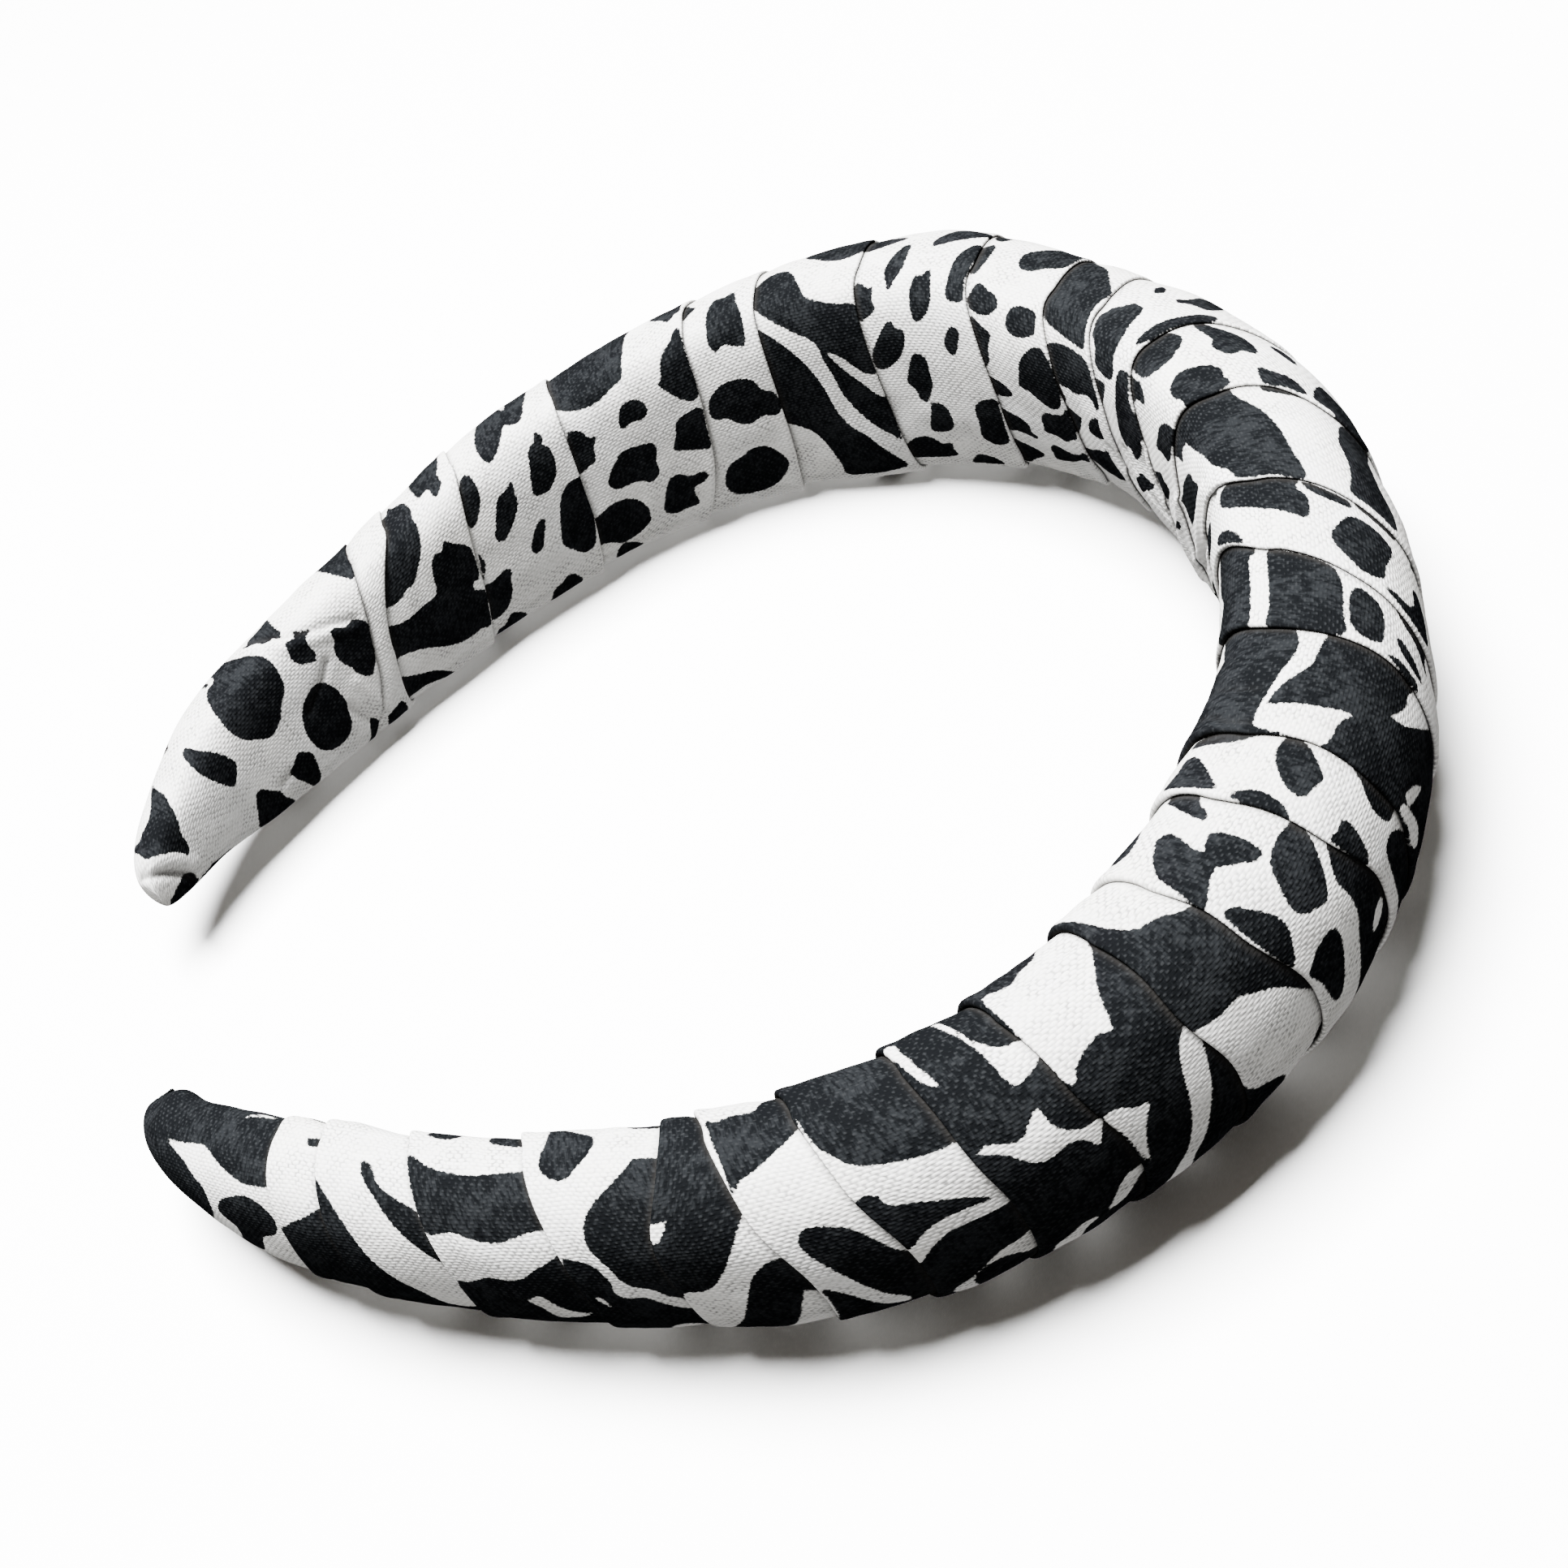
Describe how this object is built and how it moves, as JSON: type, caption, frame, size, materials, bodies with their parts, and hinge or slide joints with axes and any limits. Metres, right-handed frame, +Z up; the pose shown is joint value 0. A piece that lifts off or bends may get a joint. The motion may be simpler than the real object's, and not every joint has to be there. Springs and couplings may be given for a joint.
{
  "type": "padded headband",
  "caption": "Padded headband on its side: a stiff padded arch wound from tip to tip in a folded strip of animal-print cotton, with a folded cloth cover over each tip.",
  "frame": {"origin": "centre of the band's box, on the surface it lies on", "axes": "+X from the tips to the crown, +Y from the near arm to the far arm, +Z up across the band's width"},
  "size_m": [0.168, 0.1554, 0.0384],
  "materials": {
    "pad": "stiff plastic band in a soft foam pad, hidden under the cloth",
    "print_cotton": "matt plain-weave cotton, printed with charcoal spots and stripes on off-white"
  },
  "bodies": {
    "root": {"padded_core": "pad", "wrap_turn_01": "print_cotton", "wrap_turn_02": "print_cotton", "wrap_turn_03": "print_cotton", "wrap_turn_04": "print_cotton", "wrap_turn_05": "print_cotton", "wrap_turn_06": "print_cotton", "wrap_turn_07": "print_cotton", "wrap_turn_08": "print_cotton", "wrap_turn_09": "print_cotton", "wrap_turn_10": "print_cotton", "wrap_turn_11": "print_cotton", "wrap_turn_12": "print_cotton", "wrap_turn_13": "print_cotton", "wrap_turn_14": "print_cotton", "wrap_turn_15": "print_cotton", "wrap_turn_16": "print_cotton", "wrap_turn_17": "print_cotton", "wrap_turn_18": "print_cotton", "wrap_turn_19": "print_cotton", "wrap_turn_20": "print_cotton", "wrap_turn_21": "print_cotton", "wrap_turn_22": "print_cotton", "wrap_turn_23": "print_cotton", "wrap_turn_24": "print_cotton", "wrap_turn_25": "print_cotton", "wrap_turn_26": "print_cotton", "wrap_turn_27": "print_cotton", "near_tip_cover": "print_cotton", "far_tip_cover": "print_cotton"}
  },
  "joints": []
}
